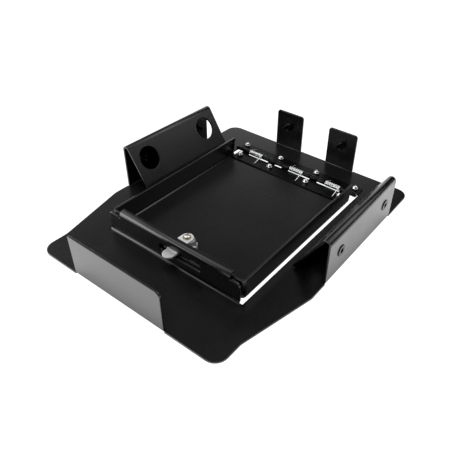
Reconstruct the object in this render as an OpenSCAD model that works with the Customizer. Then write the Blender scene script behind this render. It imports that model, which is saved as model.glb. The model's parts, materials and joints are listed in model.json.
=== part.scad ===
// Console safe: a folded sheet-steel plate with a spring-hinged lid pan and a cam lock.
// It lies on its outer face, brackets up. X runs across, Y from the lock end to the hinge end.

/* [Sheet steel] */
// Thickness of the plate and of the lid
sheet_t = 2.7; // [2:0.1:3.4]
// Inside radius of the bends of the lid and the latch wall
bend_in = 2.7; // [2:0.1:3.4]
// Inside radius of the bends at the plate's outer edges
edge_bend_in = 1; // [0.8:0.1:3]

/* [Base plate] */
// Length of the plate, front edge to rear edge
plate_len = 368; // [355:1:420]
// Width of the plate over its side brackets
plate_w = 299.4; // [280:0.2:340]
// Width of the plate beside the opening, on each side
side_rim = 50.5; // [49:0.1:58]
// Distance from the hinge pin to the rear edge
rear_rim = 54.6; // [46:0.1:70]
// How much narrower the front end is, on each side
front_step = 21.1; // [10:0.1:28]
// Length of the straight sides of the front end
front_len = 34; // [20:1:50]
// Distance from where the plate reaches its full width to the brackets
shoulder_len = 22; // [10:1:40]
// Radius of the outer corners
corner_r = 15; // [5:1:25]
// Radius of the blends where the taper starts and ends
neck_r = 24; // [5:1:30]
// Distance from the front edge to the front face of the latch wall
latch_inset = 73; // [60:1:80]
// Gap between the opening and each side of the lid
side_gap = 2.7; // [1.5:0.1:4]
// Clearance between the rear of the opening and the lid's rear edge as it turns
turn_clear = 0.4; // [0.3:0.1:1]
// Diameter of the round relief at the end of a bend
relief_d = 1.6; // [1.2:0.1:4]
// Width of the saw cut from a relief to the edge
relief_slit = 0.5; // [0.3:0.1:1.2]

/* [Latch wall] */
// How far each end of the latch wall stops short of the lid's side
latch_short = 1.2; // [1:0.1:5]
// Height of the latch wall beside its lip
latch_side_h = 27.7; // [26.5:0.1:28.5]
// Height of the latch wall at the top of its lip
latch_h = 34.6; // [34:0.1:38]
// Reach of the lip behind the front face
lip_reach = 8.4; // [7.8:0.1:9]
// Distance from the left end of the latch wall to the lip
lip_inset_left = 17.4; // [10:0.1:30]
// Distance from the right end of the latch wall to the lip
lip_inset_right = 12.7; // [10:0.1:30]
// Depth of the notch at each end of the lip, below the wall top
lip_notch_h = 1.7; // [1:0.1:2.5]
// Width of the notch at each end of the lip
lip_notch_w = 2; // [1:0.1:4]
// Radius of the right top corner of the wall
latch_right_r = 6; // [2:0.5:7]
// Radius of the left top corner of the wall
latch_left_r = 3.5; // [2:0.5:7]
// Left end of the cam slot, from the middle
slot_left = 16; // [12:1:30]
// Right end of the cam slot, from the middle
slot_right = 43; // [34:1:50]
// Height of the lower edge of the cam slot
slot_low = 13; // [11:0.1:14]
// Height of the upper edge of the cam slot
slot_high = 23.3; // [22:0.1:24]
// Corner radius of the cam slot
slot_r = 3; // [1:0.5:4]

/* [Front skirt] */
// Height of the skirt
skirt_h = 52; // [40:1:60]
// Left end of the skirt, from the middle
skirt_left = 67.8; // [40:0.1:90]
// Right end of the skirt, from the middle
skirt_right = 61.7; // [40:0.1:90]
// Radius of the right top corner of the skirt
skirt_right_r = 6; // [1:0.5:10]
// Radius of the left top corner of the skirt
skirt_left_r = 1.5; // [1:0.5:10]

/* [Side brackets] */
// Height of the right bracket
bracket_h = 58; // [50:1:64]
// Height of the left bracket
left_bracket_h = 62; // [50:1:64]
// How far the left bracket lies in front of the right one
left_ahead = 4.5; // [0:0.5:8]
// Length of the brackets
bracket_len = 154.5; // [140:0.5:160]
// Distance from the brackets to the rear edge of the plate
bracket_rear_gap = 62.5; // [30:0.5:80]
// Outside radius of the top bend
crest_r = 5.65; // [4.5:0.05:8]
// Lean of the inner leg from upright, in degrees
leg_lean = 32; // [26:0.2:32.4]
// Gap between the foot of the inner leg and the plate
foot_gap = 0.3; // [0.2:0.1:1]
// Radius of the weld that ties each end of the foot to the plate
tack_r = 1.6; // [1.2:0.1:2]
// Length of that weld
tack_len = 6; // [4:0.5:12]
// Distance from the bracket's front end to its front rivet nut
side_nut_front = 26.5; // [20:0.5:35]
// Distance from the bracket's rear end to its rear rivet nut
side_nut_rear = 23; // [16:0.5:35]
// Distance from the top of a bracket down to its rivet nuts
side_nut_down = 27; // [22:0.5:30]
// Diameter of the round access holes in the inner leg
access_d = 30; // [20:1:32]
// Distance from the top of a bracket down to the middle of its access holes
access_down = 20; // [19.5:0.5:24]
// How far the access holes lie in front of the rivet nuts
access_ahead = 3; // [0:0.5:6]

/* [Rear tabs] */
// Height of the tabs
tab_h = 58; // [50:1:66]
// Width of each tab
tab_w = 43.7; // [30:0.1:50]
// Gap between the tabs
tab_gap = 42.6; // [20:0.1:60]
// Radius of the top corners of the tabs
tab_r = 4; // [1:0.5:8]
// Height of the rivet nuts in the tabs
tab_nut_h = 37.5; // [25:0.5:45]

/* [Rivet nuts] */
// Diameter of the threaded bore
rivet_bore_d = 6; // [5:0.5:6]
// Diameter of the barrel
rivet_barrel_d = 9; // [8.5:0.1:10]
// Diameter of the bulge behind the sheet
rivet_bulge_d = 11.6; // [11:0.1:12.5]
// Height of the bulge
rivet_bulge_h = 3.4; // [2:0.1:4]
// Diameter of the flange
rivet_flange_d = 14; // [13:0.1:16]
// Thickness of the flange
rivet_flange_t = 1; // [0.6:0.1:1.5]
// Reach of the barrel behind the sheet
rivet_reach = 8; // [6:0.5:10]

/* [Lid pan] */
// Height of the lid walls
lid_h = 27.5; // [25.5:0.5:28]
// Gap between the latch wall's front face and the lid
lid_setback = 5.1; // [4.6:0.1:6]
// How far the lid walls stop short of the floor's rear edge, at the foot
wall_short_low = 10.4; // [8:0.1:13]
// The same at the top
wall_short_high = 6.4; // [5:0.1:8]

/* [Hinge] */
// How far the hinge runs past each side of the lid
hinge_past = 2.1; // [0.5:0.1:2.3]
// Least width of a knuckle with its gap; as many as fit share the hinge's length
knuckle_w = 11.5; // [11.5:0.1:14]
// Distance from the rear edge of the lid floor to the hinge pin
pin_behind_lid = 5; // [4.6:0.1:6]
// Diameter of the hinge knuckles
knuckle_d = 6.2; // [6:0.1:6.6]
// Diameter of the hinge pin
pin_d = 3; // [2.5:0.1:3.2]
// Thickness of the hinge leaves
leaf_t = 1.5; // [1.2:0.1:1.8]
// Gap between neighbouring knuckles
knuckle_gap = 0.3; // [0.2:0.1:0.6]
// Width of the lid leaf, from the pin to its free edge
lid_leaf_w = 24.6; // [22:0.1:28]
// Width of the plate leaf, from the pin to its free edge
plate_leaf_w = 20.4; // [19:0.1:26]
// Gap between each end of the lid leaf and the bend of the lid wall
leaf_end_gap = 0.3; // [0.2:0.1:3]
// How far the peened pin ends stand out of the knuckles
pin_stub = 0.9; // [0.5:0.1:1.2]
// Diameter of the peened pin ends
peen_d = 4.2; // [3.6:0.1:4.8]

/* [Springs] */
// Diameter of the spring wire
wire_d = 1.3; // [1:0.05:1.35]
// Middle diameter of the spring coil
coil_d = 6.2; // [6:0.1:6.6]
// Clear space between neighbouring turns
turn_gap = 0.42; // [0.41:0.01:0.48]
// Full turns of each spring
spring_turns = 12; // [8:1:12]
// Reach of the leg on the plate leaf, from the pin
rear_leg = 16; // [12:0.5:18]
// Reach of the leg on the lid leaf, from the pin
front_leg = 22; // [16:0.5:23]
// Clear height of the leg tips over the leaves
leg_lift = 0.1; // [0.05:0.05:0.4]
// Distance from the outer lid studs to the middles of the outer springs, to the nearest knuckle
spring_from_stud = 18.6; // [18:0.1:24]

/* [Studs and cap nuts] */
// Diameter of the press-in studs
stud_d = 4; // [3:0.5:5]
// Diameter of the flush stud heads
stud_head_d = 6.6; // [6:0.1:7.5]
// Thickness of the flush stud heads
stud_head_t = 1; // [0.8:0.1:1.4]
// Width of the cap nuts across their flats
cap_af = 7.5; // [7:0.1:9]
// Height of the hexagon of the cap nuts
cap_hex_h = 3; // [2.5:0.1:4]
// Diameter of the domes
cap_dome_d = 6.8; // [6.2:0.1:7]
// Whole height of the cap nuts
cap_h = 5.9; // [5.7:0.1:7]
// Gap between the end of a stud and the bottom of its blind hole
stud_end_gap = 0.3; // [0.2:0.1:0.8]
// Distance of the inner lid studs from the middle
lid_stud_in = 29.9; // [25:0.1:40]
// Distance from each side of the lid to its outer stud
lid_stud_edge = 14.1; // [10.5:0.1:20]
// Distance of the inner plate studs from the middle
plate_stud_in = 30.1; // [25:0.1:40]
// Distance from each end of the hinge to the outer plate stud
plate_stud_edge = 8.3; // [6:0.1:14]
// Distance from the pin to the lid studs
lid_stud_back = 14.6; // [14:0.1:18]
// Distance from the pin to the plate studs
plate_stud_back = 13.6; // [13.4:0.1:15]

/* [Lock] */
// Distance from the front face of the latch wall to the lock axis
lock_back = 27; // [26.5:0.1:30]
// Diameter of the threaded lock barrel
barrel_d = 19; // [18:0.1:20]
// Width of the barrel across its two flats
barrel_af = 16; // [15.5:0.1:17]
// Length of the barrel behind its head
barrel_len = 16; // [15:0.1:17]
// Diameter of the flush lock head
head_d = 23; // [22:0.1:25]
// Thickness of the flush lock head
head_t = 1.2; // [1:0.1:1.5]
// Width of the lock nut across its flats
nut_af = 22; // [21.5:0.1:25]
// Height of the lock nut
nut_h = 5; // [3:0.1:7]
// Turn of the lock nut's flats, in degrees
nut_turn = 12; // [0:1:59]
// Diameter of the turning plug
plug_d = 13; // [12.6:0.1:13.4]
// Diameter of the plug's front rim
rim_d = 15; // [14.5:0.1:15.6]
// Thickness of the plug's front rim
rim_t = 1; // [0.8:0.1:1.1]
// Diameter of the post that carries the cam
post_d = 9; // [8:0.1:9.6]
// Width of the post across its two flats
post_af = 6.8; // [6:0.1:7.6]
// Width of the keyway
keyway_w = 2.2; // [1.8:0.1:2.6]
// Height of the keyway
keyway_h = 8; // [7:0.1:8.4]
// Depth of the keyway
keyway_deep = 14; // [13.4:0.1:14.4]
// Thickness of a wafer
wafer_t = 1.1; // [0.9:0.05:1.3]
// Width of a wafer
wafer_w = 8.6; // [8:0.1:9]
// Height of a wafer
wafer_h = 10.8; // [10:0.1:11]
// Spacing of the wafers
wafer_pitch = 2.1; // [1.9:0.05:2.15]
// Number of wafers
wafer_count = 6; // [3:1:6]
// Clear space round a wafer in its slot
wafer_play = 0.1; // [0.05:0.05:0.2]
// Thickness of the stop washer
stop_t = 1.6; // [1.2:0.1:2]
// Quarter turn that the stop washer allows, in degrees
turn_angle = 90; // [90:1:90]
// Angle that the stop washer's tab takes up, in degrees
stop_tab = 60; // [40:1:70]
// Free angle at each end of the stop washer's travel, in degrees
stop_play = 2; // [1:0.5:4]

/* [Cam] */
// Width of the cam
cam_w = 15; // [14:0.5:16]
// Reach of the cam from the lock axis to its tip
cam_len = 36; // [34:0.5:38]
// Thickness of the cam
cam_t = 2.2; // [1.8:0.1:2.4]
// Drop of the cam's tip below its hub
cam_drop = 3.4; // [1:0.1:3.8]
// Distance from the lock axis to the start of the drop
drop_start = 18; // [12:0.5:19]
// Length over which the cam drops
drop_len = 7; // [5:0.5:8]
// Diameter of the star washer over its teeth
star_d = 9.6; // [8:0.1:11]
// Thickness of the star washer
star_t = 0.7; // [0.5:0.1:1]
// Number of teeth on the star washer
star_teeth = 10; // [6:1:12]
// Diameter of the cam screw
screw_d = 4; // [3:0.5:4]
// Length of the cam screw under its head
screw_len = 8; // [6:0.5:8.5]
// Diameter of the screw head
screw_head_d = 6.6; // [6:0.1:7.5]
// Height of the screw head's straight side
screw_head_h = 1.6; // [1:0.1:2]
// Rise of the screw head's dome
screw_dome_h = 1; // [0.5:0.1:1.4]
// Length of the cross recess in the screw head
cross_len = 3.6; // [2.5:0.1:4]
// Width of the cross recess
cross_w = 0.9; // [0.6:0.1:1.2]
// Depth of the cross recess
cross_deep = 1.3; // [0.8:0.1:1.6]

/* [Hidden] */
// Radial clearance of everything that fits in a hole
fit = 0.05;
// Overrun of every cut
over = 0.5;
// Straight pieces that a rounded corner is drawn with
arc_steps = 8;
$fn = 48;

bend_out = bend_in + sheet_t;
edge_bend = edge_bend_in + sheet_t;
crest_in = crest_r - sheet_t;
front_y = -(plate_len + rivet_flange_t) / 2;
rear_y = front_y + plate_len;
front_w = plate_w - 2 * front_step;
open_w = plate_w - 2 * side_rim;
lid_w = open_w - 2 * side_gap;
latch_y = front_y + latch_inset;
lid_y = latch_y + lid_setback;
pin_y = rear_y - rear_rim;
lid_rear_y = pin_y - pin_behind_lid;
pin_z = sheet_t + knuckle_d / 2;
open_rear_y = pin_y + norm([pin_behind_lid, pin_z]) + turn_clear;
lock_y = latch_y + lock_back;
latch_w = lid_w - 2 * latch_short;
lip_left = latch_w / 2 - lip_inset_left;
lip_right = latch_w / 2 - lip_inset_right;
lip_z = latch_h - bend_out;
bracket_rear_y = rear_y - bracket_rear_gap;
bracket_y = bracket_rear_y - bracket_len;
shoulder_y = bracket_y - left_ahead - shoulder_len;
side_nuts_y = [bracket_y + side_nut_front, bracket_rear_y - side_nut_rear];
tab_x = (tab_gap + tab_w) / 2;
leaf_top = sheet_t + leaf_t;
lid_leaf_len = lid_w - 2 * (bend_out + leaf_end_gap);
lid_stud_out = lid_w / 2 - lid_stud_edge;
lid_studs_x = [-lid_stud_out, -lid_stud_in, lid_stud_in, lid_stud_out];
hinge_len = lid_w + 2 * hinge_past;
plate_stud_out = hinge_len / 2 - plate_stud_edge;
plate_studs_x = [-plate_stud_out, -plate_stud_in, plate_stud_in, plate_stud_out];
barrel_top = head_t + barrel_len;
cam_z = barrel_top + stop_t;
star_z = cam_z + cam_t;
screw_z = star_z + star_t;

// Places along the hinge: a knuckle takes one and a spring takes two, the first of which is listed
place_count = 2 * floor((hinge_len / knuckle_w - 1) / 2) + 1;
pitch = hinge_len / place_count;
spring_out = lid_stud_out - spring_from_stud;
spring_places = [
    round((hinge_len / 2 - spring_out) / pitch) - 1,
    (place_count - 1) / 2,
    round((hinge_len / 2 + spring_out) / pitch) - 1];
coil_pitch = wire_d + turn_gap;

// Points of the arc that rounds corner b between a and c, each [x, y, radius]
function corner_arc(a, b, c) =
    let (p = [b.x, b.y],
         u = ([a.x, a.y] - p) / norm([a.x, a.y] - p),
         v = ([c.x, c.y] - p) / norm([c.x, c.y] - p),
         half = acos(u * v) / 2,
         mid = p + (u + v) / norm(u + v) * b.z / sin(half),
         from = p + u * b.z / tan(half) - mid,
         side = sign(u.x * v.y - u.y * v.x),
         sweep = -side * (180 - 2 * half))
    [for (i = [0 : arc_steps])
        let (s = sweep * i / arc_steps)
        mid + [from.x * cos(s) - from.y * sin(s), from.x * sin(s) + from.y * cos(s)]];

// Flat outline with each corner [x, y, radius]
module outline(corners) {
    n = len(corners);
    polygon([for (i = [0 : n - 1])
        each (corners[i].z > 0
            ? corner_arc(corners[(i + n - 1) % n], corners[i], corners[(i + 1) % n])
            : [[corners[i].x, corners[i].y]])]);
}

// Flat rectangle from one corner to the other
module patch(low, high) {
    translate(low)
        square(high - low);
}

// Part of a flat ring between two angles
module arc_band(r_in, r_out, a0, a1) {
    intersection() {
        difference() {
            circle(r_out);
            circle(r_in);
        }
        polygon([[0, 0], for (i = [0 : arc_steps])
            let (a = a0 + (a1 - a0) * i / arc_steps)
            2 * r_out * [cos(a), sin(a)]]);
    }
}

// Pushes a flat shape drawn in Y and Z along X, from x0 to x1
module across(x0, x1) {
    translate([x0, 0, 0])
        rotate([90, 0, 90])
            linear_extrude(x1 - x0)
                children();
}

// Pushes a flat shape drawn in X and Z along Y, from y0 to y1
module along(y0, y1) {
    translate([0, y1, 0])
        rotate([90, 0, 0])
            linear_extrude(y1 - y0)
                children();
}

// Repeats a piece at each X of a row
module row(places, y) {
    for (x = places)
        translate([x, y, 0])
            children();
}

// Round hole up through the sheet, with a flat seat for a flush stud head
module stud_hole() {
    translate([0, 0, -over])
        cylinder(h = leaf_top + 2 * over, r = stud_d / 2 + fit);
    translate([0, 0, -over])
        cylinder(h = stud_head_t + over, r = stud_head_d / 2 + fit);
}

// Round relief on a bend line, with its saw cut out to an edge that far away along +X
module relief(reach) {
    circle(d = relief_d);
    translate([0, -relief_slit / 2])
        square([reach + over, relief_slit]);
}

// Plan of the flat part of the base plate
module plate_plan() {
    bracket_bend = plate_w / 2 - edge_bend;
    tab_bend = rear_y - edge_bend;
    skirt_bend = front_y + edge_bend;
    slit = relief_slit / 2;
    difference() {
        outline([
            [-front_w / 2, front_y, corner_r],
            [front_w / 2, front_y, corner_r],
            [front_w / 2, front_y + front_len, neck_r],
            [plate_w / 2, shoulder_y, neck_r],
            [plate_w / 2, rear_y, corner_r],
            [-plate_w / 2, rear_y, corner_r],
            [-plate_w / 2, shoulder_y, neck_r],
            [-front_w / 2, front_y + front_len, neck_r]]);
        patch([-open_w / 2, latch_y], [open_w / 2, open_rear_y]);
        patch([-latch_w / 2, latch_y - bend_in], [latch_w / 2, latch_y + over]);
        for (s = [-1, 1]) {
            translate([s * (latch_w + relief_slit) / 2, latch_y - bend_in])
                rotate(90)
                    relief(bend_in);
            mirror([s < 0 ? 1 : 0, 0]) {
                translate([bracket_bend, s < 0 ? -left_ahead : 0]) {
                    patch([0, bracket_y], [edge_bend + over, bracket_rear_y]);
                    translate([0, bracket_y - slit])
                        relief(edge_bend);
                    translate([0, bracket_rear_y + slit])
                        relief(edge_bend);
                }
                patch([tab_gap / 2, tab_bend], [tab_gap / 2 + tab_w, rear_y + over]);
                translate([tab_gap / 2 - slit, tab_bend])
                    rotate(90)
                        relief(edge_bend);
                translate([tab_gap / 2 + tab_w + slit, tab_bend])
                    rotate(90)
                        relief(edge_bend);
            }
        }
        patch([-skirt_left, front_y - over], [skirt_right, skirt_bend]);
        translate([-skirt_left - slit, skirt_bend])
            rotate(-90)
                relief(edge_bend);
        translate([skirt_right + slit, skirt_bend])
            rotate(-90)
                relief(edge_bend);
    }
}

// Latch wall, bent up from the front of the opening, with a hooked lip over the lid's front wall
module latch_wall() {
    notch_z = latch_side_h - lip_notch_h;
    difference() {
        along(latch_y, latch_y + sheet_t)
            outline([
                [-latch_w / 2, bend_out, 0],
                [latch_w / 2, bend_out, 0],
                [latch_w / 2, latch_side_h, latch_right_r],
                [lip_right + lip_notch_w, latch_side_h, 0],
                [lip_right + lip_notch_w, notch_z, 0],
                [lip_right, notch_z, 0],
                [lip_right, lip_z, 0],
                [-lip_left, lip_z, 0],
                [-lip_left, notch_z, 0],
                [-lip_left - lip_notch_w, notch_z, 0],
                [-lip_left - lip_notch_w, latch_side_h, 0],
                [-latch_w / 2, latch_side_h, latch_left_r]]);
        cam_slot(latch_y);
    }
    across(-latch_w / 2, latch_w / 2)
        translate([latch_y - bend_in, bend_out])
            arc_band(bend_in, bend_out, -90, 0);
    across(-lip_left, lip_right) {
        translate([latch_y + bend_out, lip_z])
            arc_band(bend_in, bend_out, 90, 180);
        patch([latch_y + bend_out, latch_h - sheet_t], [latch_y + lip_reach, latch_h]);
    }
}

// Cut for the slot that the cam swings through, in a wall whose front face is at y
module cam_slot(y) {
    along(y - over, y + sheet_t + over)
        outline([
            [-slot_left, slot_low, slot_r],
            [slot_right, slot_low, slot_r],
            [slot_right, slot_high, slot_r],
            [-slot_left, slot_high, slot_r]]);
}

// Section of a side bracket of a height: outer leg, crest and leaning inner leg
module bracket_section(height) {
    crest = [plate_w / 2 - crest_r, height - crest_r];
    leg_len = (crest.y + crest_in * sin(leg_lean) - sheet_t - foot_gap) / cos(leg_lean);
    translate([plate_w / 2 - edge_bend, edge_bend])
        arc_band(edge_bend_in, edge_bend, -90, 0);
    patch([plate_w / 2 - sheet_t, edge_bend], [plate_w / 2, crest.y]);
    translate(crest) {
        arc_band(crest_in, crest_r, 0, 180 - leg_lean);
        rotate(180 - leg_lean)
            translate([crest_in, 0])
                square([sheet_t, leg_len]);
    }
}

// Right side bracket of a height, with its access holes, rivet nut holes and foot welds
module bracket(height) {
    crest = [plate_w / 2 - crest_r, height - crest_r];
    hole_down = (access_down - crest_r + crest_r * sin(leg_lean)) / cos(leg_lean);
    foot_x = crest.x - crest_in * cos(leg_lean)
        - (crest.y + crest_in * sin(leg_lean) - sheet_t) * tan(leg_lean);
    difference() {
        along(bracket_y, bracket_rear_y)
            bracket_section(height);
        for (y = side_nuts_y) {
            translate([crest.x, y - access_ahead, crest.y])
                rotate([0, leg_lean - 180, 0])
                    translate([crest_in - over, 0, hole_down])
                        rotate([0, 90, 0])
                            cylinder(h = sheet_t + 2 * over, d = access_d);
            translate([plate_w / 2 + over, y, height - side_nut_down])
                rotate([0, -90, 0])
                    cylinder(h = sheet_t + 2 * over, r = rivet_barrel_d / 2 + fit);
        }
    }
    for (y = [bracket_y, bracket_rear_y - tack_len])
        along(y, y + tack_len)
            intersection() {
                translate([foot_x, sheet_t])
                    circle(tack_r);
                patch([foot_x - 2 * tack_r, sheet_t], [foot_x + 2 * tack_r, sheet_t + tack_r]);
            }
}

// Front skirt, bent up from the front edge
module skirt() {
    across(-skirt_left, skirt_right)
        translate([front_y + edge_bend, edge_bend])
            arc_band(edge_bend_in, edge_bend, 180, 270);
    along(front_y, front_y + sheet_t)
        outline([
            [-skirt_left, edge_bend, 0],
            [skirt_right, edge_bend, 0],
            [skirt_right, skirt_h, skirt_right_r],
            [-skirt_left, skirt_h, skirt_left_r]]);
}

// Right rear tab, bent up from the rear edge
module tab() {
    low = tab_gap / 2;
    high = low + tab_w;
    across(low, high)
        translate([rear_y - edge_bend, edge_bend])
            arc_band(edge_bend_in, edge_bend, -90, 0);
    difference() {
        along(rear_y - sheet_t, rear_y)
            outline([
                [low, edge_bend, 0],
                [high, edge_bend, 0],
                [high, tab_h, tab_r],
                [low, tab_h, tab_r]]);
        translate([tab_x, rear_y + over, tab_nut_h])
            rotate([90, 0, 0])
                cylinder(h = sheet_t + 2 * over, r = rivet_barrel_d / 2 + fit);
    }
}

module base_plate() {
    color("#2b2b2d") {
        difference() {
            linear_extrude(sheet_t)
                plate_plan();
            row(plate_studs_x, pin_y + plate_stud_back)
                stud_hole();
        }
        latch_wall();
        skirt();
        bracket(bracket_h);
        translate([0, -left_ahead, 0])
            mirror([1, 0, 0])
                bracket(left_bracket_h);
        for (s = [0, 1])
            mirror([s, 0, 0])
                tab();
    }
}

// Section of the lid's edge, outwards from the start of its bend
module pan_edge() {
    translate([0, bend_out])
        arc_band(bend_in, bend_out, -90, 0);
    translate([bend_in, bend_out])
        square([sheet_t, lid_h - bend_out]);
}

module lid_pan() {
    half = lid_w / 2 - bend_out;
    near = lid_y + bend_out;
    color("#2b2b2d")
        difference() {
            union() {
                linear_extrude(sheet_t)
                    patch([-half, near], [half, lid_rear_y]);
                for (s = [0, 1])
                    mirror([s, 0, 0]) {
                        along(near, lid_rear_y)
                            translate([half, 0])
                                pan_edge();
                        translate([half, near, 0])
                            rotate(-90)
                                rotate_extrude(angle = 90)
                                    pan_edge();
                    }
                translate([0, near, 0])
                    rotate([0, 0, -90])
                        along(-half, half)
                            pan_edge();
            }
            cam_slot(lid_y);
            for (s = [0, 1])
                mirror([s, 0, 0])
                    across(half, lid_w / 2 + over)
                        polygon([
                            [lid_rear_y - wall_short_low, -over],
                            [lid_rear_y + over, -over],
                            [lid_rear_y + over, lid_h + over],
                            [lid_rear_y - wall_short_high, lid_h + over]]);
            row(lid_studs_x, pin_y - lid_stud_back)
                stud_hole();
            translate([0, lock_y, -over]) {
                barrel_post(sheet_t + 2 * over, fit);
                cylinder(h = head_t + over, r = head_d / 2 + fit);
            }
        }
}

// Section of a knuckle with its strip of leaf, towards +Y
module knuckle_section(reach) {
    difference() {
        union() {
            translate([0, pin_z])
                circle(d = knuckle_d);
            patch([0, sheet_t], [reach, leaf_top]);
        }
        translate([0, pin_z])
            circle(pin_d / 2 + fit);
    }
}

// True where a knuckle place is not taken by a spring
function has_knuckle(i) = len([for (p = spring_places) if (i == p || i == p + 1) i]) == 0;

// Leaf of the hinge towards +Y, with knuckles at every second place from the first one given
module leaf(first, width, length) {
    translate([-length / 2, pin_behind_lid, sheet_t])
        cube([length, width - pin_behind_lid, leaf_t]);
    for (i = [first : 2 : place_count - 1])
        if (has_knuckle(i))
            across(i * pitch - hinge_len / 2 + knuckle_gap / 2, (i + 1) * pitch - hinge_len / 2 - knuckle_gap / 2)
                knuckle_section(pin_behind_lid);
}

module hinge_leaf_plate() {
    color("#3a3a3c")
        difference() {
            translate([0, pin_y, 0])
                leaf(0, plate_leaf_w, hinge_len);
            row(plate_studs_x, pin_y + plate_stud_back)
                stud_hole();
        }
}

module hinge_leaf_lid() {
    color("#3a3a3c")
        difference() {
            translate([0, pin_y, 0])
                mirror([0, 1, 0])
                    leaf(1, lid_leaf_w, lid_leaf_len);
            row(lid_studs_x, pin_y - lid_stud_back)
                stud_hole();
        }
}

module hinge_pin() {
    color("#a8a8ac")
        translate([-hinge_len / 2, pin_y, pin_z])
            rotate([0, 90, 0]) {
                cylinder(h = hinge_len, d = pin_d);
                translate([0, 0, -pin_stub])
                    cylinder(h = pin_stub, d = peen_d);
                translate([0, 0, hinge_len])
                    cylinder(h = pin_stub, d = peen_d);
            }
}

// Spring wire: tip of the rear leg, coil rings from the rear leg's tangent to the front leg's, front tip
tip_z = leaf_top + wire_d / 2 + leg_lift - pin_z;
rear_tip = [rear_leg, tip_z];
front_tip = [-front_leg, tip_z];
coil_r = coil_d / 2;
coil_start = atan2(rear_tip.y, rear_tip.x) + acos(coil_r / norm(rear_tip));
coil_end = 360 * (spring_turns + 1) + atan2(front_tip.y, front_tip.x) - acos(coil_r / norm(front_tip));
coil_rings = round((coil_end - coil_start) / 45);
coil_len = coil_pitch * (coil_end - coil_start) / 360;
wire_sides = 6;

// Angle round the pin of coil ring i
function ring_angle(i) = coil_start + (coil_end - coil_start) * i / coil_rings;

// Centre of coil ring i
function ring_mid(i) =
    [coil_len * (i / coil_rings - 1 / 2), coil_r * cos(ring_angle(i)), coil_r * sin(ring_angle(i))];

// Points round one ring, with its middle, the angle of its outward side and its slope along X
function ring_points(mid, a, slope) =
    let (out = [0, cos(a), sin(a)],
         side = [cos(slope), sin(a) * sin(slope), -cos(a) * sin(slope)])
    [for (j = [0 : wire_sides - 1])
        mid + wire_d / 2 * (cos(360 * j / wire_sides) * out + sin(360 * j / wire_sides) * side)];

coil_slope = atan2(coil_pitch, 360 * coil_r * PI / 180);
wire_rings = concat(
    [ring_points([-coil_len / 2, rear_tip.x, rear_tip.y], coil_start, 0)],
    [for (i = [0 : coil_rings])
        ring_points(ring_mid(i), ring_angle(i), (i == 0 || i == coil_rings) ? 0 : coil_slope)],
    [ring_points([coil_len / 2, front_tip.x, front_tip.y], coil_end, 0)]);

// Least space between two rings that lie at least half a turn apart on the wire
wire_mids = concat([[-coil_len / 2, rear_tip.x, rear_tip.y]], [for (i = [0 : coil_rings]) ring_mid(i)],
                   [[coil_len / 2, front_tip.x, front_tip.y]]);
wire_space = min([for (i = [0 : len(wire_mids) - 1]) for (j = [i + 4 : 1 : len(wire_mids) - 1])
    norm(wire_mids[i] - wire_mids[j])]) - wire_d;
echo(spring_least_gap_mm = wire_space);

// One torsion spring, in the middle of the two knuckle places that start at place
module spring(place) {
    last = len(wire_rings) - 1;
    color("#c8c8cc")
        translate([(place + 1) * pitch - hinge_len / 2, pin_y, pin_z])
            polyhedron(
                points = [for (ring = wire_rings) each ring],
                faces = concat(
                    [for (j = [1 : wire_sides - 2]) [0, j, j + 1]],
                    [for (i = [0 : last - 1]) for (j = [0 : wire_sides - 1])
                        let (a = i * wire_sides + j, b = i * wire_sides + (j + 1) % wire_sides)
                        each [[a, a + wire_sides, b], [b, a + wire_sides, b + wire_sides]]],
                    [for (j = [1 : wire_sides - 2])
                        [last * wire_sides, last * wire_sides + j + 1, last * wire_sides + j]]));
}

module spring_left() {
    spring(spring_places[0]);
}

module spring_middle() {
    spring(spring_places[1]);
}

module spring_right() {
    spring(spring_places[2]);
}

// Press-in stud, its flush head at the outer face
module stud() {
    cylinder(h = stud_head_t, d = stud_head_d);
    cylinder(h = leaf_top + cap_hex_h, d = stud_d);
}

// Cap nut on top of a hinge leaf
module cap_nut() {
    dome_r = cap_dome_d / 2;
    translate([0, 0, leaf_top])
        difference() {
            union() {
                cylinder(h = cap_hex_h, d = cap_af / cos(30), $fn = 6);
                intersection() {
                    translate([0, 0, cap_h - dome_r])
                        sphere(dome_r);
                    cylinder(h = cap_h, r = cap_dome_d);
                }
            }
            translate([0, 0, -over])
                cylinder(h = cap_hex_h + stud_end_gap + over, r = stud_d / 2 + fit);
        }
}

module plate_hinge_studs() {
    color("#b0b0b4")
        row(plate_studs_x, pin_y + plate_stud_back)
            stud();
}

module plate_hinge_nuts() {
    color("#c8c8cc")
        row(plate_studs_x, pin_y + plate_stud_back)
            cap_nut();
}

module lid_hinge_studs() {
    color("#b0b0b4")
        row(lid_studs_x, pin_y - lid_stud_back)
            stud();
}

module lid_hinge_nuts() {
    color("#c8c8cc")
        row(lid_studs_x, pin_y - lid_stud_back)
            cap_nut();
}

// Rivet nut: flange on the sheet's outer face at z = 0, barrel and bulge below
module rivet_nut() {
    difference() {
        union() {
            cylinder(h = rivet_flange_t, d = rivet_flange_d);
            translate([0, 0, -sheet_t - rivet_reach])
                cylinder(h = sheet_t + rivet_reach, d = rivet_barrel_d);
            translate([0, 0, -sheet_t - rivet_bulge_h])
                cylinder(h = rivet_bulge_h, d = rivet_bulge_d);
        }
        translate([0, 0, -sheet_t - rivet_reach - over])
            cylinder(h = sheet_t + rivet_reach + rivet_flange_t + 2 * over, d = rivet_bore_d);
    }
}

module right_rivet_nuts() {
    color("#1c1c1e")
        for (y = side_nuts_y)
            translate([plate_w / 2, y, bracket_h - side_nut_down])
                rotate([0, 90, 0])
                    rivet_nut();
}

module left_rivet_nuts() {
    color("#1c1c1e")
        for (y = side_nuts_y)
            translate([-plate_w / 2, y - left_ahead, left_bracket_h - side_nut_down])
                rotate([0, -90, 0])
                    rivet_nut();
}

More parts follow.
